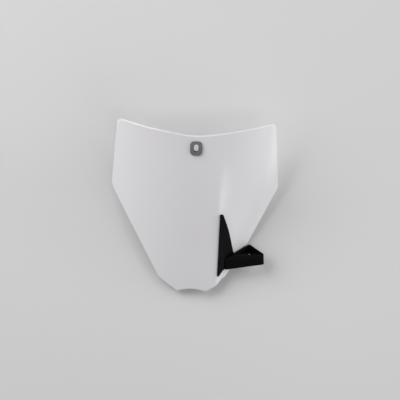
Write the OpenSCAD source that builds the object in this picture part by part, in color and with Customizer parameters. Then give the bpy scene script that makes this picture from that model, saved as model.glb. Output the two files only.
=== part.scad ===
// Racing number board: a moulded plastic board with a hose guide on its turned-back side panel.
// Millimetres. +Z is up, the board faces -Y, and +X is to the viewer's right.
// The origin is the centre of the top bolt slot, in the plane where the grommet meets the machine.
// Outlines are seen from the front, so they are given across (x) and up (z).

/* [Board shell] */
// Radius of the front face from side to side
board_r = 175; // [150:5:230]
// Wall of the moulding
board_wall = 2.4; // [2:0.1:3]
// Front face at the middle of the board, in front of the mounting plane
front_reach = 8; // [7:0.5:12]

/* [Board outline] */
// Height of the notch in the middle of the top edge
notch_z = 17.2; // [16:0.5:24]
// Rounding of that notch
notch_r = 100; // [40:10:140]
// Half width of the board at its top corners
top_corner_x = 115.5; // [100:1:125]
// Height of the top corners
top_corner_z = 30.6; // [24:0.5:42]
// Rounding of the top corners
top_corner_r = 8; // [4:1:14]
// Half width of the board at its shoulders
shoulder_x = 124; // [118:1:132]
// Height of the shoulders
shoulder_z = -73; // [-88:1:-58]
// Rounding of the shoulders
shoulder_r = 14; // [6:1:24]
// Half width of the board halfway down its tapered sides
flank_x = 84; // [80:1:92]
// Height of that place
flank_z = -140; // [-148:1:-132]
// Rounding of the slight bend there
flank_r = 400; // [100:50:600]
// Half width of the board at its lower corners
low_corner_x = 49.5; // [47:0.5:56]
// Height of the lower corners
low_corner_z = -201.6; // [-204:0.2:-198]
// Rounding of the lower corners
low_corner_r = 3; // [1:0.5:4]
// Half the distance between the two lobes of the bottom edge
lobe_x = 21.5; // [18:0.5:26]
// Height of the lobes
lobe_z = -221; // [-228:0.5:-216]
// Rounding of the lobes
lobe_r = 5; // [2:0.5:8]
// Height of the shallow arch between the lobes
arch_z = -214.6; // [-218:0.2:-212]
// Rounding of that arch
arch_r = 50; // [20:5:60]

/* [Turned-back side panel] */
// Distance of the crease from the middle of the board
crease_x = 37; // [33:0.5:40]
// Half width of the rounded band along the crease
crease_blend = 3; // [2:0.5:4]
// Height at which the crease starts
sweep_top_z = -18; // [-58:5:2]
// Height at which the panel has its full slope
sweep_low_z = -223; // [-258:5:-218]
// Slope that the panel gains there, as depth over width
sweep_slope = 0.8; // [0.6:0.05:0.9]
// How late the slope grows on the way down
sweep_power = 1.7; // [1.4:0.1:2.2]
// Half width of the board halfway down the panel's own edge
panel_flank_x = 82.5; // [80:0.5:90]
// Height of that place
panel_flank_z = -154; // [-162:1:-146]
// Rounding of the bend there
panel_flank_r = 60; // [20:10:120]
// Drop of the bottom edge where it crosses the crease
crease_dip = 1.4; // [0:0.2:2]
// Rise of the bottom edge beside the crease, where the panel turns back
panel_rise = 2.1; // [1:0.1:3]
// Distance of that rise from the crease
panel_rise_x = 7.6; // [6:0.2:8.4]

/* [Grommet] */
// Width of the grommet's flanges
grommet_w = 17.6; // [17:0.2:22]
// Height of the grommet's flanges
grommet_h = 21; // [20:0.2:26]
// Corner radius of the flanges
grommet_corner_r = 6.2; // [5:0.2:8]
// Thickness of the flange in front of the board
grommet_front_t = 1.8; // [1.2:0.2:2.6]
// Thickness of the flange behind the collar
grommet_back_t = 2.4; // [1.8:0.2:3]
// Width of the neck that passes through the board
neck_w = 12.6; // [11.6:0.2:14]
// Height of the neck
neck_h = 16.6; // [16:0.2:18]
// Width of the bolt slot
slot_w = 6.4; // [6.2:0.2:8]
// Height of the bolt slot
slot_h = 12.2; // [11:0.2:14]
// Gap between the rubber and the board
grommet_gap = 0.15; // [0.1:0.05:0.3]

/* [Back of the board] */
// Wall of the collar round the grommet hole
collar_wall = 5; // [4:0.5:7]
// Thickness of the webs and ribs
web_t = 1.8; // [1.4:0.1:2.4]
// Length of the webs beside the collar
web_len = 11; // [8:1:16]
// Height that the webs and ribs still have where they run out
web_end = 0.5; // [0.2:0.1:1]
// Distance of each lower hook from the middle
hook_x = 16; // [13:0.5:20]
// Height of the upper face of the hooks
hook_z = -190; // [-196:1:-180]
// Width of each hook
hook_w = 13; // [9:1:15]
// Reach of the hooks behind the mounting plane
hook_reach = 11; // [7:0.5:18]
// Thickness of the hooks
hook_t = 3.2; // [2.4:0.2:4]
// Length of the lip that turns down at the end of a hook
hook_lip = 9; // [5:0.5:12]
// Height of the two upright ribs above the hooks
rib_h = 4; // [2:0.5:6]
// Height of the upper end of those ribs
rib_top_z = -46; // [-78:2:-34]

/* [Hose guide] */
// Thickness of the flange on the panel
flange_t = 2.5; // [2:0.1:3.2]
// Gap between the flange and the panel
flange_gap = 0.1; // [0.05:0.05:0.3]
// Distance of the flange's long edge from the crease
flange_inset = 1.6; // [0:0.2:2.4]
// Height of the flange's upper tip
flange_top_z = -99.5; // [-104.3:0.5:-92.3]
// Width of the flange at its upper tip
flange_top_w = 4.2; // [3.8:0.2:7]
// Height of the slight bend in the flange's slanted edge
flange_mid_z = -124.5; // [-134.5:0.5:-114.5]
// Width of the flange at that bend
flange_mid_w = 13.4; // [11:0.2:15]
// Rounding of that bend
flange_mid_r = 150; // [50:10:200]
// Width of the flange where the arm leaves it
flange_w = 22.6; // [20:0.5:26]
// Width of the flange just below the eye
flange_skirt_w = 7.2; // [6.4:0.2:9]
// Drop of that place below the eye
flange_skirt_drop = 0.9; // [0.5:0.1:3]
// Height of the flange's lower tip
flange_low_z = -196.6; // [-200.6:0.5:-194.6]
// Width of the flange at its lower tip
flange_low_w = 1.4; // [1.2:0.1:2.4]
// Rounding of the flange's two tips, as a share of their width
tip_rounding = 0.46; // [0.2:0.02:0.46]
// Rounding of the flange's corner below the eye
flange_skirt_r = 4; // [1:0.5:6]
// Height of the rim of the eye at its front wall
eye_top_z = -165.3; // [-167.3:0.5:-161.3]
// Height of the eye's front wall
eye_h = 22.2; // [17.7:0.5:22.7]
// Distance of the root of the eye from the crease
eye_root_x = 8.9; // [8:0.1:10]
// Outer width of the eye
eye_w = 63.2; // [56.7:0.5:66.7]
// Turn of the front wall away from the front
eye_yaw = 5.7; // [4:0.1:8]
// Distance of the eye's rear corner from the root, across
eye_back_x = 38.8; // [36:0.2:42]
// Depth of the rear corner behind the root
eye_depth = 30.9; // [28:0.2:31.5]
// Wall of the eye
eye_wall = 2.6; // [2.2:0.1:3.4]
// Rounding of the eye's rear corner
eye_corner_r = 4.8; // [3.6:0.1:5.2]
// Rounding of the eye's outer end
eye_end_r = 3; // [1:0.1:3.6]
// Rounding of the eye's corner at its root
root_r = 0.5; // [0.2:0.1:1]
// Tilt of the rim, which rises to the rear
rim_tilt = 18; // [10:0.5:20]
// Fall of the rim toward the eye's outer end
rim_fall = 1.2; // [0:0.2:3]
// Tilt of the lower edge, which rises to the rear
low_tilt = 25; // [16:0.5:26]
// Rise of the lower edge toward the eye's outer end, and the lean of the walls that stand square to it
low_rise = 5.5; // [4:0.5:9]
// Drop of the rim at the root of the eye
root_drop = 5; // [2:0.5:7]
// Length of the slope that leads down to the root
root_len = 14; // [10:1:16]

/* [Guide fixings] */
// Height of the upper peg
upper_peg_z = -126; // [-132:1:-118]
// Distance of the upper peg from the crease
upper_peg_x = 6.6; // [6:0.2:8]
// Drop of the lower peg below the rim of the eye
lower_peg_drop = 9.7; // [2:0.1:12]
// Distance of the lower peg from the crease
lower_peg_x = 9.6; // [7:0.2:11]
// Diameter of the pegs
peg_d = 7; // [6:0.2:8]
// Gap between a peg and its hole
peg_gap = 0.2; // [0.1:0.05:0.3]
// Diameter of the pad round each hole behind the board
pad_d = 13; // [12:0.5:15]
// Rise of the pad above the back of the board
pad_h = 1.8; // [1.4:0.1:3]
// Diameter of the screws' shanks
screw_d = 3.2; // [2.8:0.1:3.8]
// Diameter of the screw heads
head_d = 9; // [8.4:0.2:10.5]
// Height of the screw heads
head_h = 2.6; // [2.2:0.1:3.4]
// Diameter of the flat on top of a screw head
crown_d = 6.4; // [5:0.2:7.6]
// Width of the cross recess
recess_w = 1; // [0.8:0.1:1.2]
// Depth of the cross recess
recess_h = 1.4; // [1:0.1:1.6]
// Plastic left in front of the bore that a screw goes into
bore_floor = 1.2; // [0.8:0.1:1.6]
// Gap round a screw, under its head and at its tip
screw_gap = 0.1; // [0.05:0.05:0.2]

/* [Hidden] */
$fn = 48;
// Length that a cutter runs past a face
past = 1;
// Reach of a cutter that takes everything beyond a plane
far = 200;
// Step over which a slope is measured
slope_step = 0.01;
// Largest turn between two points of a rounded corner, in degrees
arc_step = 9;
// Size of the shell's facets, and their number across the crease
cell = 8;
crease_cells = 4;
// Share of the eye's height over which the flange keeps its full width
backed_share = 0.75;
front_y0 = -front_reach;
back_y0 = front_y0 + board_wall;
collar_y = -grommet_back_t - grommet_gap;
pegs = [[crease_x + upper_peg_x, upper_peg_z], [crease_x + lower_peg_x, eye_top_z - lower_peg_drop]];
// Depths at a peg, from the front face of the board inward
pad_back = board_wall + pad_h;
bore_start = -flange_gap - flange_t + bore_floor;

// Depth gained by the side panel, from the crease outward
function sweep_share(z) = z >= sweep_top_z ? 0
    : pow((sweep_top_z - z) / (sweep_top_z - sweep_low_z), sweep_power);
function crease_ramp(d) = d <= -crease_blend ? 0
    : d >= crease_blend ? d : pow(d + crease_blend, 2) / (4 * crease_blend);

// The front face: a point's depth, its two slopes, and the way into the wall there
function front_y(x, z) = front_y0 + board_r - sqrt(board_r * board_r - x * x)
    + sweep_slope * sweep_share(z) * crease_ramp(x - crease_x);
function slope_x(x, z) = (front_y(x + slope_step, z) - front_y(x - slope_step, z)) / (2 * slope_step);
function slope_z(x, z) = (front_y(x, z + slope_step) - front_y(x, z - slope_step)) / (2 * slope_step);
function inward(x, z) = let (v = [-slope_x(x, z), 1, -slope_z(x, z)]) v / norm(v);
function skin_point(x, z, depth) = [x, front_y(x, z), z] + depth * inward(x, z);

// Evenly spaced values from one end to the other, no further apart than the size of a facet
function stations(a, b, size) = let (n = ceil(abs(b - a) / size)) [for (i = [0 : n]) a + (b - a) * i / n];
function tail(list) = [for (i = [1 : len(list) - 1]) list[i]];
// Values across the board, closer together along the crease
function across(a, b, size) = concat(
    stations(a, crease_x - crease_blend, size),
    tail(stations(crease_x - crease_blend, crease_x + crease_blend, 2 * crease_blend / crease_cells)),
    tail(stations(crease_x + crease_blend, b, size)));

// A sheet that follows the front face between two depths
module skin(xs, zs, near, deep) {
    nx = len(xs);
    nz = len(zs);
    points = [for (depth = [near, deep]) for (z = zs) for (x = xs) skin_point(x, z, depth)];
    function at(layer, j, i) = layer * nx * nz + j * nx + i;
    quads = concat(
        [for (j = [0 : nz - 2]) for (i = [0 : nx - 2])
            [at(0, j, i), at(0, j + 1, i), at(0, j + 1, i + 1), at(0, j, i + 1)]],
        [for (j = [0 : nz - 2]) for (i = [0 : nx - 2])
            [at(1, j, i), at(1, j, i + 1), at(1, j + 1, i + 1), at(1, j + 1, i)]],
        [for (j = [0 : nz - 2]) [at(1, j, 0), at(1, j + 1, 0), at(0, j + 1, 0), at(0, j, 0)]],
        [for (j = [0 : nz - 2])
            [at(0, j, nx - 1), at(0, j + 1, nx - 1), at(1, j + 1, nx - 1), at(1, j, nx - 1)]],
        [for (i = [0 : nx - 2]) [at(0, 0, i), at(0, 0, i + 1), at(1, 0, i + 1), at(1, 0, i)]],
        [for (i = [0 : nx - 2])
            [at(0, nz - 1, i), at(1, nz - 1, i), at(1, nz - 1, i + 1), at(0, nz - 1, i + 1)]]);
    faces = [for (q = quads) for (f = [[q[0], q[1], q[2]], [q[0], q[2], q[3]]]) f];
    polyhedron(points = points, faces = faces);
}

// An outline from corners, each given as [across, up, rounding]
function unit(v) = v / norm(v);
function round_corner(a, b, c, r) =
    let (to_a = unit(a - b), to_c = unit(c - b),
         half = acos(max(-1, min(1, to_a * to_c))) / 2,
         centre = b + unit(to_a + to_c) * r / sin(half),
         start = b + to_a * r / tan(half) - centre,
         side = sign(cross(to_a, to_c)),
         turn = -side * (180 - 2 * half),
         n = ceil(abs(turn) / arc_step))
    [for (i = [0 : n]) let (t = turn * i / n)
        centre + [start.x * cos(t) - start.y * sin(t), start.x * sin(t) + start.y * cos(t)]];
function flat(p) = [p[0], p[1]];
function rounded(corners) = let (n = len(corners))
    [for (i = [0 : n - 1]) each round_corner(flat(corners[(i + n - 1) % n]), flat(corners[i]),
        flat(corners[(i + 1) % n]), corners[i][2])];

// An outline seen from the front, cut through from one depth to another
module through(y_from, y_to) {
    translate([0, y_to, 0])
        rotate([90, 0, 0])
            linear_extrude(height = y_to - y_from)
                children();
}

// A shape drawn along +Z, set on the front face and pointing into the board
module on_panel(x, z) {
    way = inward(x, z);
    translate([x, front_y(x, z), z])
        rotate(a = acos(way.z), v = cross([0, 0, 1], way))
            children();
}

module stadium(w, h) {
    union() {
        for (side = [-1, 1])
            translate([0, side * (h - w) / 2])
                circle(d = w);
        square([w, h - w], center = true);
    }
}

// The bottom edge between a lobe and a lower corner, before the panel shifts it
edge_rise = (low_corner_z - lobe_z) / (low_corner_x - lobe_x);
function edge_z(x) = lobe_z + edge_rise * (x - lobe_x);

board_corners = [
    [0, notch_z, notch_r],
    [top_corner_x, top_corner_z, top_corner_r],
    [shoulder_x, shoulder_z, shoulder_r],
    [panel_flank_x, panel_flank_z, panel_flank_r],
    [low_corner_x, low_corner_z, low_corner_r],
    [crease_x + panel_rise_x, edge_z(crease_x + panel_rise_x) + panel_rise, low_corner_r],
    [crease_x, edge_z(crease_x) - crease_dip, low_corner_r],
    [lobe_x, lobe_z, lobe_r],
    [0, arch_z, arch_r],
    [-lobe_x, lobe_z, lobe_r],
    [-low_corner_x, low_corner_z, low_corner_r],
    [-flank_x, flank_z, flank_r],
    [-shoulder_x, shoulder_z, shoulder_r],
    [-top_corner_x, top_corner_z, top_corner_r]];

module shell() {
    xs = across(-shoulder_x - past, shoulder_x + past, cell);
    zs = stations(lobe_z - past, top_corner_z + past, cell);
    intersection() {
        skin(xs, zs, 0, board_wall);
        through(front_y0 - past, far)
            polygon(rounded(board_corners));
    }
}

module grommet_outline(grow) {
    w = grommet_w + 2 * grow;
    h = grommet_h + 2 * grow;
    r = grommet_corner_r + grow;
    polygon(rounded([[w / 2, h / 2, r], [w / 2, -h / 2, r], [-w / 2, -h / 2, r], [-w / 2, h / 2, r]]));
}

// The raised ring round the grommet hole
module collar() {
    through(back_y0 - board_wall / 2, collar_y)
        stadium(neck_w + 2 * collar_wall, neck_h + 2 * collar_wall);
}

// A web that runs from inside the collar's wall down to the back of the board
module collar_web() {
    from_x = neck_w / 2 + collar_wall / 2;
    to_x = neck_h / 2 + collar_wall + web_len;
    inside = back_y0 - board_wall / 2;
    translate([0, 0, -web_t / 2])
        linear_extrude(height = web_t)
            polygon([[from_x, inside], [to_x, inside],
                [to_x, back_y0 + web_end], [from_x, collar_y - web_end]]);
}

// Where the hooks and ribs start inside the wall, and where the back face is there
hook_root_y = front_y(hook_x, hook_z) + board_wall / 2;
hook_back_y = front_y(hook_x, hook_z) + board_wall;

// A profile seen from the side, as [depth, height], made as thick as asked round the middle
module side_profile(width) {
    translate([-width / 2, 0, 0])
        rotate([90, 0, 90])
            linear_extrude(height = width)
                children();
}

// One lower hook: a shelf whose end turns down, and two webs on top of it
module hook() {
    side_profile(hook_w)
        polygon(rounded([
            [hook_root_y, hook_z, 0],
            [hook_reach, hook_z, hook_t / 2],
            [hook_reach, hook_z - hook_lip, hook_t / 3],
            [hook_reach - hook_t, hook_z - hook_lip, hook_t / 3],
            [hook_reach - hook_t, hook_z - hook_t, hook_t / 3],
            [hook_root_y, hook_z - hook_t, 0]]));
    for (side = [-1, 1])
        translate([side * (hook_w - web_t) / 2, 0, 0])
            side_profile(web_t)
                polygon([[hook_root_y, hook_z - hook_t / 2], [hook_reach - hook_t, hook_z - hook_t / 2],
                    [hook_reach - hook_t, hook_z], [hook_back_y, hook_z + hook_lip],
                    [hook_root_y, hook_z + hook_lip]]);
}

// One upright rib, which grows toward the hook below it
module rib() {
    side_profile(web_t)
        polygon([[hook_root_y, rib_top_z], [hook_back_y + web_end, rib_top_z],
            [hook_back_y + rib_h, hook_z - hook_t / 2], [hook_root_y, hook_z - hook_t / 2]]);
}

module plate() {
    color("whitesmoke")
        difference() {
            union() {
                shell();
                collar();
                for (turn = [0 : 60 : 180])
                    rotate([0, turn, 0])
                        collar_web();
                for (side = [-1, 1])
                    translate([side * hook_x, 0, 0]) {
                        hook();
                        rib();
                    }
                for (p = pegs)
                    on_panel(p.x, p.y)
                        translate([0, 0, board_wall / 2])
                            cylinder(d = pad_d, h = pad_back - board_wall / 2);
            }
            through(front_y0 - past, collar_y + past)
                stadium(neck_w + 2 * grommet_gap, neck_h + 2 * grommet_gap);
            for (p = pegs)
                on_panel(p.x, p.y)
                    translate([0, 0, -past])
                        cylinder(d = peg_d + 2 * peg_gap, h = pad_back + 2 * past);
        }
}

// The flange: a tall triangle that lies on the side panel, just outside the crease
module flange() {
    edge_x = crease_x + flange_inset;
    xs = across(edge_x - crease_blend - past, edge_x + flange_w + 2 * past, cell / 2);
    zs = stations(flange_low_z - past, flange_top_z + past, cell);
    back_z = eye_top_z - eye_h * backed_share;
    intersection() {
        skin(xs, zs, -flange_gap - flange_t, -flange_gap);
        through(front_y0 - flange_gap - flange_t - past, far)
            polygon(rounded([
                [edge_x, flange_top_z, flange_top_w * tip_rounding],
                [edge_x + flange_top_w, flange_top_z, flange_top_w * tip_rounding],
                [edge_x + flange_mid_w, flange_mid_z, flange_mid_r],
                [edge_x + flange_w, eye_top_z, root_r],
                [edge_x + flange_w, back_z, root_r],
                [edge_x + flange_skirt_w, eye_top_z - eye_h - flange_skirt_drop, flange_skirt_r],
                [edge_x + flange_low_w, flange_low_z, flange_low_w * tip_rounding],
                [edge_x, flange_low_z, flange_low_w * tip_rounding]]));
    }
}

// The eye: a triangular ring whose rim and lower edge both rise to the rear.
// It starts flush with the flange's front face, and its outline is seen from above, from its root.
eye_x = crease_x + eye_root_x;
eye_y = skin_point(eye_x, eye_top_z, -flange_gap - flange_t).y;
module eye_outline() {
    polygon(rounded([
        [0, 0, root_r],
        [eye_w * cos(eye_yaw), eye_w * sin(eye_yaw), eye_end_r],
        [eye_back_x, eye_depth, eye_corner_r]]));
}

// Everything on one side of a plane through the root of the eye
module beyond_root(height, turns, side) {
    translate([eye_x, eye_y, height])
        rotate(turns)
            translate([-far / 2, -far / 2, side > 0 ? 0 : -far])
                cube(far);
}

module eye() {
    difference() {
        translate([eye_x, eye_y, eye_top_z])
            rotate([0, -low_rise, 0])
                translate([0, 0, -eye_h - past])
                    linear_extrude(height = eye_h + eye_depth * tan(rim_tilt) + 2 * past)
                        difference() {
                            eye_outline();
                            offset(r = -eye_wall)
                                eye_outline();
                        }
        beyond_root(eye_top_z, [rim_tilt, rim_fall, 0], 1);
        beyond_root(eye_top_z - root_drop, [0, -atan(root_drop / root_len), 0], 1);
        beyond_root(eye_top_z - eye_h, [low_tilt, -low_rise, 0], -1);
    }
}

module hose_guide() {
    color([0.1, 0.1, 0.1])
        difference() {
            union() {
                flange();
                eye();
                for (p = pegs)
                    on_panel(p.x, p.y)
                        translate([0, 0, -flange_gap - flange_t / 2])
                            cylinder(d = peg_d, h = flange_gap + flange_t / 2 + pad_back - screw_gap);
            }
            for (p = pegs)
                on_panel(p.x, p.y)
                    translate([0, 0, bore_start])
                        cylinder(d = screw_d + 2 * screw_gap, h = pad_back - bore_start);
        }
}

module grommet() {
    color([0.42, 0.41, 0.42])
        difference() {
            union() {
                through(front_y0 - grommet_gap - grommet_front_t, front_y0 - grommet_gap)
                    grommet_outline(0);
                through(front_y0 - grommet_gap - grommet_front_t / 2, -grommet_back_t / 2)
                    stadium(neck_w, neck_h);
                through(-grommet_back_t, 0)
                    grommet_outline(0);
            }
            through(front_y0 - grommet_front_t - past, past)
                stadium(slot_w, slot_h);
        }
}

// A screw with a cross recess, whose head rests on its own z = 0
module screw() {
    shank = pad_back - bore_start;
    difference() {
        union() {
            cylinder(d = head_d, h = head_h / 2);
            translate([0, 0, head_h / 2])
                cylinder(d1 = head_d, d2 = crown_d, h = head_h / 2);
            translate([0, 0, -shank])
                cylinder(d = screw_d, h = shank + head_h / 4);
        }
        for (turn = [0, 90])
            rotate([0, 0, turn])
                translate([-head_d / 4, -recess_w / 2, head_h - recess_h])
                    cube([head_d / 2, recess_w, recess_h + past]);
    }
}

module guide_screws() {
    color("silver")
        for (p = pegs)
            on_panel(p.x, p.y)
                translate([0, 0, pad_back + screw_gap])
                    screw();
}

plate();
hose_guide();
grommet();
guide_screws();
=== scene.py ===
"""Racing number board: its visual model, materials and studio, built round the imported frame."""
import math

import bmesh
import bpy
import numpy as np
from mathutils import Matrix, Vector
from mathutils.geometry import delaunay_2d_cdt


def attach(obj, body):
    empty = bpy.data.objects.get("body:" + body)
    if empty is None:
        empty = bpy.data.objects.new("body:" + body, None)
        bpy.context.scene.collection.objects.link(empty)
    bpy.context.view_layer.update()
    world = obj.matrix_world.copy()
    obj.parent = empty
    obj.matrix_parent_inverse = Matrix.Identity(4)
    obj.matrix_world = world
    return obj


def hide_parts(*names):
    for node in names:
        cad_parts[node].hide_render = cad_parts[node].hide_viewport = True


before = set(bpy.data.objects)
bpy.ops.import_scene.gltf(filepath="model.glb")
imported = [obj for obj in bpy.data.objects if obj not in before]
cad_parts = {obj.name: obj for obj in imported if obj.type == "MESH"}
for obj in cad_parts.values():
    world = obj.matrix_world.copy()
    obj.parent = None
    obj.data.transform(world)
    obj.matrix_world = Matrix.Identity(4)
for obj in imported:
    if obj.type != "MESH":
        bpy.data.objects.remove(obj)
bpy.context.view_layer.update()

# Lengths below are in millimetres, as on a drawing, and meshes are made in metres
MM = 0.001

# Board shell
BOARD_R = 175
BOARD_WALL = 2.4
FRONT_REACH = 8
RIM_R = 1.1
RIM_W = 2.2
RIM_STEPS = 5
CELL = 3

# Board outline, as [across, up, rounding]
NOTCH = [0, 17.2, 100]
TOP_CORNER = [115.5, 30.6, 8]
SHOULDER = [124, -73, 14]
LEFT_FLANK = [84, -140, 400]
PANEL_FLANK = [82.5, -154, 60]
LOW_CORNER = [49.5, -201.6, 3]
LOBE = [21.5, -221, 5]
ARCH = [0, -214.6, 50]

# Turned-back side panel
CREASE_X = 37
CREASE_BLEND = 3
SWEEP_TOP_Z = -18
SWEEP_LOW_Z = -223
SWEEP_SLOPE = 0.8
SWEEP_POWER = 1.7
CREASE_DIP = 1.4
PANEL_RISE = 2.1
PANEL_RISE_X = 7.6

# Grommet
GROMMET_W = 17.6
GROMMET_H = 21
GROMMET_CORNER_R = 6.2
GROMMET_FRONT_T = 1.8
GROMMET_BACK_T = 2.4
GROMMET_GAP = 0.15
GROMMET_FRONT_EDGE_R = 0.5
GROMMET_BACK_EDGE_R = 0.6
NECK_W = 12.6
NECK_H = 16.6
SLOT_W = 6.4
SLOT_H = 12.2

# Back of the board
COLLAR_WALL = 5
COLLAR_EDGE_R = 0.6
WEB_T = 1.8
WEB_LEN = 11
WEB_END = 0.5
WEB_EDGE_R = 0.25
HOOK_X = 16
HOOK_Z = -190
HOOK_W = 13
HOOK_REACH = 11
HOOK_T = 3.2
HOOK_LIP = 9
HOOK_EDGE_R = 0.4
RIB_H = 4
RIB_TOP_Z = -46

# Hose guide
FLANGE_T = 2.5
FLANGE_GAP = 0.1
FLANGE_INSET = 1.6
FLANGE_TOP_Z = -99.5
FLANGE_TOP_W = 4.2
FLANGE_MID = [13.4, -124.5, 150]
FLANGE_W = 22.6
FLANGE_SKIRT_W = 7.2
FLANGE_SKIRT_DROP = 0.9
FLANGE_SKIRT_R = 4
FLANGE_LOW_Z = -196.6
FLANGE_LOW_W = 1.4
TIP_ROUNDING = 0.46
FLANGE_RIM_R = 0.5
FLANGE_CELL = 1.5
EYE_TOP_Z = -165.3
EYE_H = 22.2
EYE_ROOT_X = 8.9
EYE_W = 63.2
EYE_YAW = 5.7
EYE_BACK_X = 38.8
EYE_DEPTH = 30.9
EYE_WALL = 2.6
EYE_CORNER_R = 4.8
EYE_END_R = 3
EYE_INNER_R = (0.8, 1.2, 1.2)
EYE_EDGE_R = 0.6
BACKED_SHARE = 0.75
ROOT_R = 0.5
RIM_TILT = 18
RIM_FALL = 1.2
LOW_TILT = 25
LOW_RISE = 5.5
ROOT_DROP = 5
ROOT_LEN = 14

# Guide fixings: each peg as [distance from the crease, height]
PEGS = [[6.6, -126], [9.6, -175]]
PEG_D = 7
PEG_GAP = 0.2
PEG_EDGE_R = 0.3
PAD_D = 13
PAD_H = 1.8
PAD_EDGE_R = 0.5
SCREW_D = 3.2
SCREW_SIDES = 32
TIP_LEN = 2.2
TIP_SHARE = 0.45
HEAD_D = 9
HEAD_H = 2.6
HEAD_CHAMFER = 0.2
# The curve of the head's side, each point as [share of the radius, share of the height]
HEAD_CURVE = [[1, 0.42], [0.95, 0.66], [0.84, 0.86]]
CROWN_D = 6.4
CROWN_SHARE = 0.9
RECESS_W = 1
RECESS_H = 1.4
BORE_FLOOR = 1.2
SCREW_GAP = 0.1
THREAD_PITCH = 1.3
THREAD_ROWS = 10
THREAD_H = 0.45

# Derived values
FRONT_Y0 = -FRONT_REACH
BACK_Y0 = FRONT_Y0 + BOARD_WALL
COLLAR_Y = -GROMMET_BACK_T - GROMMET_GAP
PAD_BACK = BOARD_WALL + PAD_H
BORE_START = -FLANGE_GAP - FLANGE_T + BORE_FLOOR

# How far a cutter passes what it cuts, and the half width of one that takes all beyond a plane
PAST = 1
FAR = 200

# How far one side turns in a rounded corner, how near two points are one, and the share of a cell
# that a grid's points keep off a rim
ARC_STEP = math.radians(6)
MERGE = 1e-4
RIM_CLEARANCE = 0.45


# The front face

def sweep_share(z):
    """Share of the full slope that the side panel has at a height."""
    if z >= SWEEP_TOP_Z:
        return 0.0
    return ((SWEEP_TOP_Z - z) / (SWEEP_TOP_Z - SWEEP_LOW_Z)) ** SWEEP_POWER


def sweep_growth(z):
    """How fast that share changes with height."""
    if z >= SWEEP_TOP_Z:
        return 0.0
    return -SWEEP_POWER * sweep_share(z) / (SWEEP_TOP_Z - z)


def crease_ramp(d):
    """Width that counts as panel, at a distance past the crease."""
    if d <= -CREASE_BLEND:
        return 0.0
    return d if d >= CREASE_BLEND else (d + CREASE_BLEND) ** 2 / (4 * CREASE_BLEND)


def crease_growth(d):
    """How fast that width changes."""
    return min(1.0, max(0.0, (d + CREASE_BLEND) / (2 * CREASE_BLEND)))


def front_y(x, z):
    """Depth of the front face."""
    curve = BOARD_R - math.sqrt(BOARD_R * BOARD_R - x * x)
    return FRONT_Y0 + curve + SWEEP_SLOPE * sweep_share(z) * crease_ramp(x - CREASE_X)


def inward(x, z):
    """The way into the wall, square to the front face."""
    slope_x = x / math.sqrt(BOARD_R * BOARD_R - x * x)
    slope_x += SWEEP_SLOPE * sweep_share(z) * crease_growth(x - CREASE_X)
    slope_z = SWEEP_SLOPE * sweep_growth(z) * crease_ramp(x - CREASE_X)
    return Vector((-slope_x, 1, -slope_z)).normalized()


def skin_point(x, z, depth):
    """A point at a depth under the front face."""
    return Vector((x, front_y(x, z), z)) + depth * inward(x, z)


# Outlines

def round_corner(a, b, c, r):
    """Points of the arc that rounds the corner b."""
    to_a, to_c = (a - b).normalized(), (c - b).normalized()
    half = to_a.angle(to_c) / 2
    centre = b + (to_a + to_c).normalized() * r / math.sin(half)
    start = b + to_a * r / math.tan(half) - centre
    turn = math.copysign(math.pi - 2 * half, -(to_a.x * to_c.y - to_a.y * to_c.x))
    n = max(1, math.ceil(abs(turn) / ARC_STEP))
    return [centre + Matrix.Rotation(turn * i / n, 2) @ start for i in range(n + 1)]


def rounded(corners):
    """A closed outline from corners, each given as [across, up, rounding]."""
    flat = [Vector(c[:2]) for c in corners]
    points = []
    for i, corner in enumerate(corners):
        if corner[2] > 0:
            points += round_corner(flat[i - 1], flat[i], flat[(i + 1) % len(flat)], corner[2])
        else:
            points.append(flat[i])
    return points


def resampled(points, step):
    """The same outline with no side longer than the step."""
    found = []
    for a, b in zip(points, points[1:] + points[:1]):
        n = max(1, math.ceil((b - a).length / step))
        found += [a.lerp(b, i / n) for i in range(n)]
    return found


def anticlockwise(points):
    """The same outline, in the order that keeps its inside on the left."""
    area = sum(a.x * b.y - b.x * a.y for a, b in zip(points, points[1:] + points[:1]))
    return points if area > 0 else points[::-1]


def stadium(w, h):
    """An upright oblong with round ends."""
    arcs = []
    for start, side in ((0, 1), (math.pi, -1)):
        n = math.ceil(math.pi / ARC_STEP)
        arcs += [Vector((w / 2 * math.cos(start + math.pi * i / n),
                         side * (h - w) / 2 + w / 2 * math.sin(start + math.pi * i / n)))
                 for i in range(n + 1)]
    return arcs


def circle(d, count=32):
    """A circle as an outline."""
    turns = [2 * math.pi * i / count for i in range(count)]
    return [Vector((d / 2 * math.cos(t), d / 2 * math.sin(t))) for t in turns]


def mirrored(corner):
    """A corner's twin on the board's other side."""
    return [-corner[0], corner[1], corner[2]]


def edge_z(x):
    """The bottom edge between a lobe and a lower corner, before the panel shifts it."""
    slope = (LOW_CORNER[1] - LOBE[1]) / (LOW_CORNER[0] - LOBE[0])
    return LOBE[1] + slope * (x - LOBE[0])


def board_outline():
    """The board from the front, with its panel's own lower edge."""
    rise_x = CREASE_X + PANEL_RISE_X
    return rounded([
        NOTCH, TOP_CORNER, SHOULDER, PANEL_FLANK, LOW_CORNER,
        [rise_x, edge_z(rise_x) + PANEL_RISE, LOW_CORNER[2]],
        [CREASE_X, edge_z(CREASE_X) - CREASE_DIP, LOW_CORNER[2]],
        LOBE, ARCH, mirrored(LOBE), mirrored(LOW_CORNER), mirrored(LEFT_FLANK),
        mirrored(SHOULDER), mirrored(TOP_CORNER)])


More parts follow.
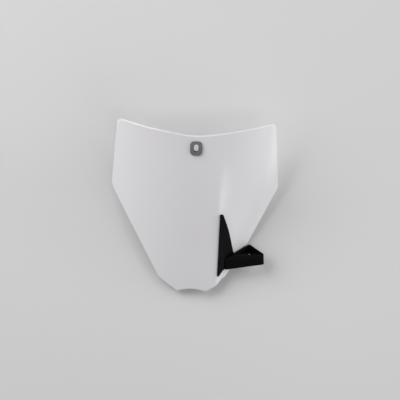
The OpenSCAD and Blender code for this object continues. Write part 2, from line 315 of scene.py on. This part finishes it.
def flange_outline():
    """The guide's flange from the front: a tall triangle with a skirt below the eye's root."""
    edge_x = CREASE_X + FLANGE_INSET
    back_z = EYE_TOP_Z - EYE_H * BACKED_SHARE
    top_r, low_r = FLANGE_TOP_W * TIP_ROUNDING, FLANGE_LOW_W * TIP_ROUNDING
    return rounded([
        [edge_x, FLANGE_TOP_Z, top_r], [edge_x + FLANGE_TOP_W, FLANGE_TOP_Z, top_r],
        [edge_x + FLANGE_MID[0], *FLANGE_MID[1:]],
        [edge_x + FLANGE_W, EYE_TOP_Z, 2 * ROOT_R], [edge_x + FLANGE_W, back_z, 2 * ROOT_R],
        [edge_x + FLANGE_SKIRT_W, EYE_TOP_Z - EYE_H - FLANGE_SKIRT_DROP, FLANGE_SKIRT_R],
        [edge_x + FLANGE_LOW_W, FLANGE_LOW_Z, low_r], [edge_x, FLANGE_LOW_Z, low_r]])


# Meshes

def make_object(name, bm):
    """A Blender object from a mesh in millimetres."""
    bmesh.ops.remove_doubles(bm, verts=bm.verts, dist=MERGE)
    bmesh.ops.recalc_face_normals(bm, faces=bm.faces)
    bmesh.ops.scale(bm, vec=(MM, MM, MM), verts=bm.verts)
    mesh = bpy.data.meshes.new(name)
    bm.to_mesh(mesh)
    bm.free()
    obj = bpy.data.objects.new(name, mesh)
    bpy.context.scene.collection.objects.link(obj)
    return obj


def bevel_edges(bm, width, segments=2, sharper_than=28):
    """Rounds the edges that are sharper than an angle."""
    limit = math.radians(sharper_than)
    edges = [e for e in bm.edges if e.is_manifold and e.calc_face_angle(0) > limit]
    bmesh.ops.bevel(bm, geom=edges, offset=width, offset_type="OFFSET", segments=segments,
                    profile=0.5, affect="EDGES", clamp_overlap=True)


def prism(outline, low, high, place, bevel=0.0, segments=2):
    """An outline drawn out between two ends; place turns (across, up, along) into a point."""
    bm = bmesh.new()
    ends = [[bm.verts.new(place(p.x, p.y, along)) for p in outline] for along in (low, high)]
    bm.faces.new(ends[0][::-1])
    bm.faces.new(ends[1])
    for i in range(len(outline)):
        j = (i + 1) % len(outline)
        bm.faces.new((ends[0][i], ends[0][j], ends[1][j], ends[1][i]))
    bmesh.ops.recalc_face_normals(bm, faces=bm.faces)
    if bevel:
        bevel_edges(bm, bevel, segments)
    return bm


def from_front(across, up, along):
    """Outline seen from the front, running in depth."""
    return Vector((across, along, up))


def from_side(across, up, along):
    """Outline seen from the side, as depth and height, running across."""
    return Vector((along, across, up))


def on_panel(x, z):
    """A placing function for shapes drawn along the way into the board."""
    way = inward(x, z)
    turn = Vector((0, 0, 1)).rotation_difference(way).to_matrix()
    base = skin_point(x, z, 0)
    return lambda across, up, along: base + turn @ Vector((across, up, along))


def combine(obj, others, operation):
    """Joins or cuts an object with others, and deletes those."""
    for other in others:
        modifier = obj.modifiers.new("combine", "BOOLEAN")
        modifier.operation = operation
        modifier.object = other
        modifier.solver = "EXACT"
    bpy.context.view_layer.update()
    evaluated = obj.evaluated_get(bpy.context.evaluated_depsgraph_get())
    result = bpy.data.meshes.new_from_object(evaluated)
    obj.modifiers.clear()
    old = obj.data
    obj.data = result
    result.name = obj.name
    bpy.data.meshes.remove(old)
    for other in others:
        mesh = other.data
        bpy.data.objects.remove(other)
        bpy.data.meshes.remove(mesh)


def boundary_distance(points, outline):
    """Distance from each point to an outline, negative outside it."""
    a = np.array([p[:] for p in outline])
    b = np.roll(a, -1, axis=0)
    side = b - a
    found = []
    for p in points:
        t = np.clip(((p - a) * side).sum(1) / (side * side).sum(1), 0, 1)
        gap = np.sqrt((((a + t[:, None] * side) - p) ** 2).sum(1).min())
        crosses = (a[:, 1] > p[1]) != (b[:, 1] > p[1])
        reach = a[crosses, 0] + (p[1] - a[crosses, 1]) / side[crosses, 1] * side[crosses, 0]
        found.append(gap if (reach > p[0]).sum() % 2 else -gap)
    return np.array(found)


def stations(a, b, size):
    """Even values from one end to the other, no further apart than the size."""
    return np.linspace(a, b, max(1, math.ceil(abs(b - a) / size)) + 1)


def stations_across(a, b, size):
    """Values across the board, closer together along the crease."""
    crease = stations(CREASE_X - CREASE_BLEND, CREASE_X + CREASE_BLEND, size / 4)
    left = stations(a, crease[0], size)[:-1] if a < crease[0] else []
    right = stations(crease[-1], b, size)[1:] if b > crease[-1] else []
    return np.concatenate([left, crease, right])


def skin_solid(outline, near, deep, rim_r, rim_w, size):
    """A wall that follows the front face between two depths, with a rim rounded wider in front."""
    outline = anticlockwise(resampled(outline, size))
    count = len(outline)
    inset_way = []
    for i in range(count):
        run = (outline[(i + 1) % count] - outline[i - 1]).normalized()
        inset_way.append(Vector((-run.y, run.x)))
    quarter = [math.pi / 2 * i / RIM_STEPS for i in range(RIM_STEPS + 1)]
    profile = [(rim_w * (1 - math.sin(t)), near + rim_r * (1 - math.cos(t))) for t in quarter]
    profile += [(rim_r * (1 - math.sin(t)), deep - rim_r * (1 - math.cos(t)))
                for t in reversed(quarter)]
    # The rim is square to the wall, and its rounding ends on the outline as seen from the front
    lean = []
    for p, way in zip(outline, inset_way):
        aside = inward(p.x, p.y).xz
        swell = rim_r * (math.sqrt(1 + max(0, aside.dot(way)) ** 2) - 1)
        lean.append(aside * (near + rim_r) - way * swell)
    bm = bmesh.new()
    rings = []
    for inset, depth in profile:
        places = [p + way * inset - aside for p, way, aside in zip(outline, inset_way, lean)]
        rings.append([bm.verts.new(skin_point(q.x, q.y, depth)) for q in places])
    for ring, following in zip(rings, rings[1:]):
        for i in range(count):
            j = (i + 1) % count
            bm.faces.new((ring[i], following[i], following[j], ring[j]))
    rim = [p + way * rim_w - aside for p, way, aside in zip(outline, inset_way, lean)]
    xs, zs = [p.x for p in rim], [p.y for p in rim]
    grid = np.array([(x, z) for z in stations(min(zs), max(zs), size)
                     for x in stations_across(min(xs), max(xs), size)])
    inside = [Vector(p) for p in grid[boundary_distance(grid, rim) > RIM_CLEARANCE * size]]
    flat = rim + inside
    loop = [(i, (i + 1) % count) for i in range(count)]
    _, _, faces, origin, _, _ = delaunay_2d_cdt(flat, loop, [], 1, 1e-6)
    known = [o[0] for o in origin]
    for depth, ring, order in ((near, rings[0], 1), (deep, rings[-1], -1)):
        cap = ring + [bm.verts.new(skin_point(p.x, p.y, depth)) for p in inside]
        for face in faces:
            bm.faces.new([cap[known[v]] for v in face][::order])
    return bm


def smooth(obj, sharper_than=32):
    """Smooth shading, with edges kept where the surface turns sharply."""
    mesh = obj.data
    mesh.polygons.foreach_set("use_smooth", [True] * len(mesh.polygons))
    mesh.set_sharp_from_angle(angle=math.radians(sharper_than))


def follow_skin(obj, depths, close=0.02, aligned=0.9):
    """Gives the faces that lie on the skin the curved surface's own normals."""
    mesh = obj.data
    wanted = [Vector((0, 0, 0))] * len(mesh.loops)
    for face in mesh.polygons:
        for corner in face.loop_indices:
            at = mesh.vertices[mesh.loops[corner].vertex_index].co / MM
            into = inward(at.x, at.z)
            depth = (at.y - front_y(at.x, at.z)) * into.y
            # The foot of the normal lies beside the point, so it is found once more from there
            foot = at - into * depth
            into = inward(foot.x, foot.z)
            depth = (at - skin_point(foot.x, foot.z, 0)).dot(into)
            for target in depths:
                facing = into if target > depths[0] else -into
                if abs(depth - target) < close and face.normal.dot(facing) > aligned:
                    wanted[corner] = facing
    mesh.normals_split_custom_set(wanted)


# Pieces

def make_board():
    """The white board: its shell, what is moulded on its back, and its three holes."""
    board = make_object("board", skin_solid(board_outline(), 0, BOARD_WALL, RIM_R, RIM_W, CELL))
    inside = BACK_Y0 - BOARD_WALL / 2
    parts = [prism(stadium(NECK_W + 2 * COLLAR_WALL, NECK_H + 2 * COLLAR_WALL),
                   inside, COLLAR_Y, from_front, COLLAR_EDGE_R, 3)]
    from_x, to_x = NECK_W / 2 + COLLAR_WALL / 2, NECK_H / 2 + COLLAR_WALL + WEB_LEN
    web = [Vector(p) for p in ((from_x, inside), (to_x, inside), (to_x, BACK_Y0 + WEB_END),
                               (from_x, COLLAR_Y - WEB_END))]
    for turn in range(0, 181, 60):
        spin = Matrix.Rotation(math.radians(turn), 3, "Y")
        parts.append(prism(web, -WEB_T / 2, WEB_T / 2,
                           lambda u, v, w: spin @ Vector((u, v, w)), WEB_EDGE_R))
    parts += back_mouldings()
    for x, z in peg_places():
        parts.append(prism(circle(PAD_D, 48), BOARD_WALL / 2, PAD_BACK, on_panel(x, z),
                           PAD_EDGE_R, 3))
    combine(board, [make_object("part", bm) for bm in parts], "UNION")
    holes = [prism(stadium(NECK_W + 2 * GROMMET_GAP, NECK_H + 2 * GROMMET_GAP),
                   FRONT_Y0 - PAST, COLLAR_Y + PAST, from_front)]
    for x, z in peg_places():
        holes.append(prism(circle(PEG_D + 2 * PEG_GAP, 48), -PAST, PAD_BACK + PAST,
                           on_panel(x, z)))
    combine(board, [make_object("hole", bm) for bm in holes], "DIFFERENCE")
    smooth(board)
    follow_skin(board, (0, BOARD_WALL))
    return board


def back_mouldings():
    """The two lower hooks with their webs, and the upright ribs above them."""
    root_y = front_y(HOOK_X, HOOK_Z) + BOARD_WALL / 2
    back_y = root_y + BOARD_WALL / 2
    inner = HOOK_REACH - HOOK_T
    shelf = rounded([
        [root_y, HOOK_Z, 0], [HOOK_REACH, HOOK_Z, HOOK_T / 2],
        [HOOK_REACH, HOOK_Z - HOOK_LIP, HOOK_T / 3], [inner, HOOK_Z - HOOK_LIP, HOOK_T / 3],
        [inner, HOOK_Z - HOOK_T, HOOK_T / 3], [root_y, HOOK_Z - HOOK_T, 0]])
    web = [Vector(p) for p in (
        (root_y, HOOK_Z - HOOK_T / 2), (inner, HOOK_Z - HOOK_T / 2), (inner, HOOK_Z),
        (back_y, HOOK_Z + HOOK_LIP), (root_y, HOOK_Z + HOOK_LIP))]
    rib = [Vector(p) for p in (
        (root_y, RIB_TOP_Z), (back_y + WEB_END, RIB_TOP_Z),
        (back_y + RIB_H, HOOK_Z - HOOK_T / 2), (root_y, HOOK_Z - HOOK_T / 2))]
    parts = []
    for x in (-HOOK_X, HOOK_X):
        parts.append(prism(shelf, x - HOOK_W / 2, x + HOOK_W / 2, from_side, HOOK_EDGE_R))
        for side in (-1, 1):
            middle = x + side * (HOOK_W - WEB_T) / 2
            parts.append(prism(web, middle - WEB_T / 2, middle + WEB_T / 2, from_side, WEB_EDGE_R))
        parts.append(prism(rib, x - WEB_T / 2, x + WEB_T / 2, from_side, WEB_EDGE_R))
    return parts


def peg_places():
    """Where the guide's two pegs pass through the panel, from the front."""
    return [(CREASE_X + beside, z) for beside, z in PEGS]


def eye_root():
    """The root of the eye's rim, flush with the flange's front face."""
    x = CREASE_X + EYE_ROOT_X
    return Vector((x, skin_point(x, EYE_TOP_Z, -FLANGE_GAP - FLANGE_T).y, EYE_TOP_Z))


def eye_corners():
    """The eye's three corners from above, from its root."""
    yaw = math.radians(EYE_YAW)
    return [Vector((0, 0)), Vector((EYE_W * math.cos(yaw), EYE_W * math.sin(yaw))),
            Vector((EYE_BACK_X, EYE_DEPTH))]


def turned(degrees, axis):
    """A turn round one axis."""
    return Matrix.Rotation(math.radians(degrees), 3, axis)


def eye_place(across, up, along):
    """A point of the eye, whose walls stand square to its rising lower edge."""
    return eye_root() + turned(-LOW_RISE, "Y") @ Vector((across, up, along))


def inset_corners(corners, d):
    """Corners of the triangle that lies a distance inside another."""
    found = []
    for i, b in enumerate(corners):
        to_a = (corners[i - 1] - b).normalized()
        to_c = (corners[(i + 1) % 3] - b).normalized()
        found.append(b + (to_a + to_c).normalized() * d / math.sin(to_a.angle(to_c) / 2))
    return found


def beyond_root(height, turn, side):
    """A cutter that takes everything on one side of a plane through the root of the eye."""
    base = eye_root()
    base.z = height
    low, high = (0, FAR) if side > 0 else (-FAR, 0)
    square = [Vector(p) for p in ((-FAR, -FAR), (FAR, -FAR), (FAR, FAR), (-FAR, FAR))]
    return prism(square, low, high, lambda u, v, w: base + turn @ Vector((u, v, w)))


def make_eye():
    """The closed triangular eye with its arm, cut from a leaning tube by its rim and lower edge."""
    corners = eye_corners()
    outer = rounded([[*c, r] for c, r in zip(corners, (ROOT_R, EYE_END_R, EYE_CORNER_R))])
    inner = rounded([[*c, r] for c, r in zip(inset_corners(corners, EYE_WALL), EYE_INNER_R)])
    low, high = -EYE_H - PAST, EYE_DEPTH * math.tan(math.radians(RIM_TILT)) + PAST
    eye = make_object("eye", prism(outer, low, high, eye_place))
    cutters = [
        prism(inner, low - PAST, high + PAST, eye_place),
        beyond_root(EYE_TOP_Z, turned(RIM_FALL, "Y") @ turned(RIM_TILT, "X"), 1),
        beyond_root(EYE_TOP_Z - ROOT_DROP,
                    Matrix.Rotation(-math.atan(ROOT_DROP / ROOT_LEN), 3, "Y"), 1),
        beyond_root(EYE_TOP_Z - EYE_H, turned(-LOW_RISE, "Y") @ turned(LOW_TILT, "X"), -1)]
    combine(eye, [make_object("cutter", bm) for bm in cutters], "DIFFERENCE")
    bm = bmesh.new()
    bm.from_mesh(eye.data)
    bmesh.ops.scale(bm, vec=(1 / MM,) * 3, verts=bm.verts)
    bmesh.ops.remove_doubles(bm, verts=bm.verts, dist=0.01)
    bmesh.ops.dissolve_limit(bm, angle_limit=math.radians(1), verts=bm.verts, edges=bm.edges)
    bevel_edges(bm, EYE_EDGE_R, 3)
    bpy.data.objects.remove(eye)
    return make_object("eye", bm)


def make_guide():
    """The black guide: the flange on the panel, the eye beside it and the two bored pegs."""
    near, deep = -FLANGE_GAP - FLANGE_T, -FLANGE_GAP
    flange = skin_solid(flange_outline(), near, deep, FLANGE_RIM_R, FLANGE_RIM_R, FLANGE_CELL)
    guide = make_object("guide", flange)
    pegs = [prism(circle(PEG_D, 48), deep - FLANGE_T / 2, PAD_BACK - SCREW_GAP,
                  on_panel(x, z), PEG_EDGE_R) for x, z in peg_places()]
    combine(guide, [make_eye(), *(make_object("peg", bm) for bm in pegs)], "UNION")
    bores = [prism(circle(SCREW_D + 2 * SCREW_GAP), BORE_START, PAD_BACK + PAST,
                   on_panel(x, z)) for x, z in peg_places()]
    combine(guide, [make_object("bore", bm) for bm in bores], "DIFFERENCE")
    smooth(guide, 38)
    return guide


def make_grommet():
    """The rubber grommet: a front ring, a neck and a rear flange, with an upright slot."""
    w, h, r = GROMMET_W, GROMMET_H, GROMMET_CORNER_R
    face = rounded([[side * w / 2, end * h / 2, r]
                    for side, end in ((1, 1), (1, -1), (-1, -1), (-1, 1))])
    front = FRONT_Y0 - GROMMET_GAP
    ring = make_object("grommet_ring", prism(face, front - GROMMET_FRONT_T, front, from_front,
                                             GROMMET_FRONT_EDGE_R, 3))
    neck = prism(stadium(NECK_W, NECK_H), front - GROMMET_FRONT_T / 2,
                 -GROMMET_BACK_T / 2, from_front)
    back = prism(face, -GROMMET_BACK_T, 0, from_front, GROMMET_BACK_EDGE_R, 3)
    combine(ring, [make_object("part", bm) for bm in (neck, back)], "UNION")
    slot = prism(stadium(SLOT_W, SLOT_H), front - GROMMET_FRONT_T - PAST, PAST, from_front)
    combine(ring, [make_object("slot", slot)], "DIFFERENCE")
    smooth(ring)
    return ring


def thread_radius(along, share, shank):
    """Radius of the shank at a depth below the head and a share of a turn."""
    if along > -THREAD_PITCH / 2:
        return SCREW_D / 2 - THREAD_H
    phase = (along / THREAD_PITCH - share) % 1
    crest = max(0, 1 - abs(phase - 0.5) * 4)
    taper = min(1, TIP_SHARE + (along + shank) / TIP_LEN)
    return (SCREW_D / 2 - THREAD_H * (1 - crest)) * taper


def make_screw(name, x, z):
    """A self-tapping screw: a revolved head with a cross recess, and a shank with a thread."""
    place = on_panel(x, z)
    lift = PAD_BACK + SCREW_GAP
    shank = PAD_BACK - BORE_START
    bm = bmesh.new()

    def add_ring(radii, along):
        turns = [2 * math.pi * i / SCREW_SIDES for i in range(SCREW_SIDES)]
        return [bm.verts.new(place(r * math.cos(t), r * math.sin(t), lift + along))
                for r, t in zip(radii, turns)]

    rows = math.ceil(shank / (THREAD_PITCH / THREAD_ROWS))
    rings = []
    for row in range(rows + 1):
        along = -shank * (1 - row / rows)
        rings.append(add_ring([thread_radius(along, i / SCREW_SIDES, shank)
                               for i in range(SCREW_SIDES)], along))
    head_r = HEAD_D / 2
    profile = [(head_r - HEAD_CHAMFER, 0), (head_r, HEAD_CHAMFER),
               *((head_r * wide, HEAD_H * high) for wide, high in HEAD_CURVE),
               (CROWN_D / 2 * CROWN_SHARE, HEAD_H)]
    rings += [add_ring([radius] * SCREW_SIDES, along) for radius, along in profile]
    for ring, following in zip(rings, rings[1:]):
        for i in range(SCREW_SIDES):
            j = (i + 1) % SCREW_SIDES
            bm.faces.new((ring[i], ring[j], following[j], following[i]))
    bm.faces.new(rings[0][::-1])
    bm.faces.new(rings[-1])
    screw = make_object(name, bm)
    arm, half = HEAD_D / 4, RECESS_W / 2
    level = [Vector(p) for p in ((-arm, -half), (arm, -half), (arm, half), (-arm, half))]
    upright = [Vector((-p.y, p.x)) for p in level]
    recess = [prism(bar, lift + HEAD_H - RECESS_H, lift + HEAD_H + PAST, place)
              for bar in (level, upright)]
    combine(screw, [make_object("recess", bm) for bm in recess], "DIFFERENCE")
    smooth(screw, 40)
    return screw


# Materials

def new_material(name):
    """A material with its node tree and its shader."""
    material = bpy.data.materials.new(name)
    material.use_nodes = True
    tree = material.node_tree
    return material, tree, tree.nodes["Principled BSDF"]


def noise(tree, scale, detail):
    """A noise in the piece's own coordinates, with its scale per metre."""
    place = tree.nodes.new("ShaderNodeTexCoord")
    texture = tree.nodes.new("ShaderNodeTexNoise")
    texture.inputs["Scale"].default_value = scale
    texture.inputs["Detail"].default_value = detail
    tree.links.new(place.outputs["Object"], texture.inputs["Vector"])
    return texture.outputs["Fac"]


def spread(tree, value, low, high):
    """Maps a noise, most of which lies between 0.3 and 0.7, to a range."""
    node = tree.nodes.new("ShaderNodeMapRange")
    node.inputs["From Min"].default_value = 0.3
    node.inputs["From Max"].default_value = 0.7
    node.inputs["To Min"].default_value = low
    node.inputs["To Max"].default_value = high
    tree.links.new(value, node.inputs["Value"])
    return node.outputs["Result"]


def blend_colours(tree, value, first, second):
    """A colour that goes from the first to the second with a value."""
    node = tree.nodes.new("ShaderNodeMix")
    node.data_type = "RGBA"
    node.inputs["A"].default_value = (*first, 1)
    node.inputs["B"].default_value = (*second, 1)
    tree.links.new(value, node.inputs["Factor"])
    return node.outputs["Result"]


def bump(tree, layers):
    """Stacks bumps, each as (height, depth in millimetres, strength)."""
    normal = None
    for height, depth, strength in layers:
        node = tree.nodes.new("ShaderNodeBump")
        node.inputs["Distance"].default_value = depth * MM
        node.inputs["Strength"].default_value = strength
        tree.links.new(height, node.inputs["Height"])
        if normal is not None:
            tree.links.new(normal, node.inputs["Normal"])
        normal = node.outputs["Normal"]
    return normal


def make_material(name, tone_noise, tones, rough_noise, rough, bumps, levels):
    """A surface whose tone, roughness and height follow noises, each given as (scale, detail)."""
    material, tree, shader = new_material(name)
    drift = spread(tree, noise(tree, *tone_noise), 0, 1)
    tree.links.new(blend_colours(tree, drift, *tones), shader.inputs["Base Color"])
    tree.links.new(spread(tree, noise(tree, *rough_noise), *rough), shader.inputs["Roughness"])
    layers = [(noise(tree, *grain), depth, strength) for grain, depth, strength in bumps]
    tree.links.new(bump(tree, layers), shader.inputs["Normal"])
    for socket, level in levels.items():
        shader.inputs[socket].default_value = level
    return material


def board_plastic():
    """Glossy white plastic with slight waves from its moulding."""
    return make_material(
        "board_plastic", (9, 1), ((0.72, 0.705, 0.727), (0.74, 0.729, 0.745)),
        (60, 3), (0.19, 0.24), [((70, 1), 0.02, 0.6), ((1400, 2), 0.004, 0.5)], {"IOR": 1.49})


def guide_plastic():
    """Satin black plastic with a fine grain."""
    return make_material(
        "guide_plastic", (40, 2), ((0.0016, 0.0015, 0.0016), (0.0028, 0.0026, 0.0026)),
        (150, 3), (0.34, 0.46), [((2200, 2), 0.03, 0.7)],
        {"IOR": 1.47, "Specular IOR Level": 0.045})


def grommet_rubber():
    """Dark grey rubber, matt."""
    return make_material(
        "grommet_rubber", (160, 3), ((0.13, 0.124, 0.13), (0.155, 0.148, 0.154)),
        (300, 3), (0.68, 0.82), [((2600, 3), 0.04, 0.8)], {})


def screw_steel():
    """Zinc plated steel."""
    return make_material(
        "screw_steel", (500, 3), ((0.56, 0.56, 0.58), (0.66, 0.66, 0.66)),
        (900, 2), (0.26, 0.4), [((2500, 2), 0.01, 0.5)], {"Metallic": 1})


# Studio

# The camera's angles in degrees, and the pixel on which the photograph has the bolt slot's middle
CAMERA_AZIMUTH = 0.4
CAMERA_ELEVATION = 18
CAMERA_ROLL = 2.1
CAMERA_DISTANCE = 1460
SENSOR_W = 36
PHOTO_PIXELS = 400
MM_PER_PIXEL = 1.42
SLOT_PIXEL = (196.25, 148.3)

FLOOR_COLOUR = (0.655, 0.655, 0.661)
FLOOR_GAP = 0.4
FLOOR_HALF = 1500
BACKDROP_COLOUR = (0.64, 0.64, 0.645)
AMBIENT = 0.1
LAMP_DISTANCE = 2600
LAMP_TARGET = (0, 15, -95)


def camera_frame():
    """The camera's own right, up and forward directions."""
    azimuth, elevation, roll = [math.radians(angle) for angle in
                                (CAMERA_AZIMUTH, CAMERA_ELEVATION, CAMERA_ROLL)]
    forward = Vector((math.sin(azimuth) * math.cos(elevation),
                      math.cos(azimuth) * math.cos(elevation), -math.sin(elevation)))
    level = Vector((math.cos(azimuth), -math.sin(azimuth), 0))
    upright = level.cross(forward)
    right = level * math.cos(roll) + upright * math.sin(roll)
    up = upright * math.cos(roll) - level * math.sin(roll)
    return right, up, forward


def make_camera():
    """The photograph's view: the middle of the bolt slot is put on its pixel."""
    right, up, forward = camera_frame()
    aside, below = [(v - PHOTO_PIXELS / 2) * MM_PER_PIXEL for v in SLOT_PIXEL]
    eye = Vector((0, FRONT_Y0, 0)) - forward * CAMERA_DISTANCE - right * aside + up * below
    data = bpy.data.cameras.new("camera")
    data.sensor_width = SENSOR_W
    data.lens = SENSOR_W * CAMERA_DISTANCE / (MM_PER_PIXEL * PHOTO_PIXELS)
    camera = bpy.data.objects.new("camera", data)
    turn = Matrix((right, up, -forward)).transposed().to_4x4()
    camera.matrix_world = Matrix.Translation(eye * MM) @ turn
    bpy.context.scene.collection.objects.link(camera)
    bpy.context.scene.camera = camera


def floor_frame():
    """The floor that the board lies on, from the three places where it touches."""
    shoulder = skin_point(-SHOULDER[0], SHOULDER[1], BOARD_WALL)
    low = EYE_DEPTH * math.tan(math.radians(LOW_TILT)) - EYE_H * math.cos(math.radians(LOW_RISE))
    eye = eye_place(EYE_BACK_X, EYE_DEPTH, low)
    hook = Vector((-HOOK_X, HOOK_REACH, HOOK_Z - HOOK_LIP))
    out = (hook - shoulder).cross(eye - shoulder).normalized()
    if out.y > 0:
        out = -out
    return shoulder, out


def floor_axes():
    """The floor's right, up and out directions, with right as near to the camera's as can be."""
    out = floor_frame()[1]
    right = camera_frame()[0]
    right = (right - out * right.dot(out)).normalized()
    return right, out.cross(right), out


def make_floor():
    """A square of floor just under the board, which casts no shadow of its own."""
    right, up, out = floor_axes()
    base = floor_frame()[0] - out * FLOOR_GAP
    bm = bmesh.new()
    bm.faces.new([bm.verts.new(base + (right * a + up * b) * FLOOR_HALF)
                  for a, b in ((-1, -1), (1, -1), (1, 1), (-1, 1))])
    floor = make_object("floor", bm)
    if floor.data.polygons[0].normal.dot(out) < 0:
        floor.data.flip_normals()
    floor.data.materials.append(floor_material())
    floor.visible_shadow = False


def floor_material():
    """A pale matt surface on its upper side only, so that the board's back shows from behind."""
    material, tree, shader = new_material("floor")
    shader.inputs["Base Color"].default_value = (*FLOOR_COLOUR, 1)
    shader.inputs["Roughness"].default_value = 0.9
    shader.inputs["Specular IOR Level"].default_value = 0.1
    side = tree.nodes.new("ShaderNodeNewGeometry")
    clear = tree.nodes.new("ShaderNodeBsdfTransparent")
    mix = tree.nodes.new("ShaderNodeMixShader")
    tree.links.new(side.outputs["Backfacing"], mix.inputs["Fac"])
    tree.links.new(shader.outputs["BSDF"], mix.inputs[1])
    tree.links.new(clear.outputs["BSDF"], mix.inputs[2])
    tree.links.new(mix.outputs["Shader"], tree.nodes["Material Output"].inputs["Surface"])
    return material


def lamp(name, way, size, power, distance=LAMP_DISTANCE, direct_only=False):
    """A lamp that faces the board; its way is given to the right, up and out of the floor."""
    towards = sum((axis * share for axis, share in zip(floor_axes(), way)), Vector()).normalized()
    data = bpy.data.lights.new(name, "AREA")
    data.shape = "RECTANGLE"
    data.size, data.size_y = size[0] * MM, size[1] * MM
    data.energy = power
    if direct_only:
        data.cycles.max_bounces = 0
    light = bpy.data.objects.new(name, data)
    light.location = (Vector(LAMP_TARGET) + towards * distance) * MM
    light.rotation_mode = "QUATERNION"
    light.rotation_quaternion = towards.to_track_quat("Z", "Y")
    bpy.context.scene.collection.objects.link(light)


def make_lights():
    """Large lamps all round, small ones for the crease's highlight and two for the back."""
    lamp("top_softbox", (0, 1, 0.6), (3000, 1400), 6.6)
    lamp("top_left_softbox", (-0.7, 0.7, 0.7), (1600, 1600), 34)
    lamp("left_softbox", (-1, 0.3, 0.6), (1800, 2400), 29)
    lamp("right_softbox", (1, 0.3, 0.6), (1800, 2400), 25)
    lamp("right_low_softbox", (1, 0, 0.25), (1800, 2400), 10)
    lamp("low_right_softbox", (0.9, -0.7, 0.5), (1600, 1600), 8.5)
    lamp("front_softbox", (0.25, -0.35, 0.9), (1000, 500), 5.6)
    lamp("left_rim", (-1, 0.2, 0.15), (2600, 500), 3)
    lamp("right_rim", (1, 0, 0.12), (500, 2600), 13)
    lamp("crease_accent_low", (0.564, -0.537, 0.627), (40, 40), 0.045, distance=536)
    lamp("crease_accent_mid", (0.504, -0.509, 0.698), (40, 40), 0.03, distance=529)
    lamp("crease_accent_top", (0.464, -0.472, 0.75), (40, 40), 0.02, distance=524)
    lamp("rear_left", (-0.5, 0.5, -1), (1800, 1800), 22, direct_only=True)
    lamp("rear_right", (0.6, -0.2, -1), (1800, 1800), 22, direct_only=True)


def make_world():
    """An even grey that the camera and reflections see, and a faint even light for the rest."""
    world = bpy.data.worlds.new("studio")
    world.use_nodes = True
    bpy.context.scene.world = world
    tree = world.node_tree
    ambient = tree.nodes["Background"]
    ambient.inputs["Color"].default_value = (1, 1, 1, 1)
    ambient.inputs["Strength"].default_value = AMBIENT
    seen = tree.nodes.new("ShaderNodeBackground")
    seen.inputs["Color"].default_value = (*BACKDROP_COLOUR, 1)
    path = tree.nodes.new("ShaderNodeLightPath")
    looks = path.outputs["Is Camera Ray"]
    for kind in ("Is Glossy Ray", "Is Transmission Ray"):
        either = tree.nodes.new("ShaderNodeMath")
        either.operation = "MAXIMUM"
        tree.links.new(looks, either.inputs[0])
        tree.links.new(path.outputs[kind], either.inputs[1])
        looks = either.outputs["Value"]
    mix = tree.nodes.new("ShaderNodeMixShader")
    tree.links.new(looks, mix.inputs["Fac"])
    tree.links.new(ambient.outputs["Background"], mix.inputs[1])
    tree.links.new(seen.outputs["Background"], mix.inputs[2])
    tree.links.new(mix.outputs["Shader"], tree.nodes["World Output"].inputs["Surface"])


def finish_piece(piece, material, slot, *nodes):
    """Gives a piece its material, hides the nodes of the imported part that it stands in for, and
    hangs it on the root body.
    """
    piece.data.materials.clear()
    piece.data.materials.append(material)
    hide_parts(*nodes)
    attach(piece, "root")


make_camera()
finish_piece(make_board(), board_plastic(), "board_plastic", "plate")
finish_piece(make_guide(), guide_plastic(), "guide_plastic", "hose_guide")
finish_piece(make_grommet(), grommet_rubber(), "grommet_rubber", "grommet")
steel = screw_steel()
for label, place in zip(("upper", "lower"), peg_places()):
    finish_piece(make_screw(f"screw_{label}", *place), steel, "screw_steel", "guide_screws")
make_floor()
make_lights()
make_world()
bpy.context.scene.view_settings.view_transform = "Standard"
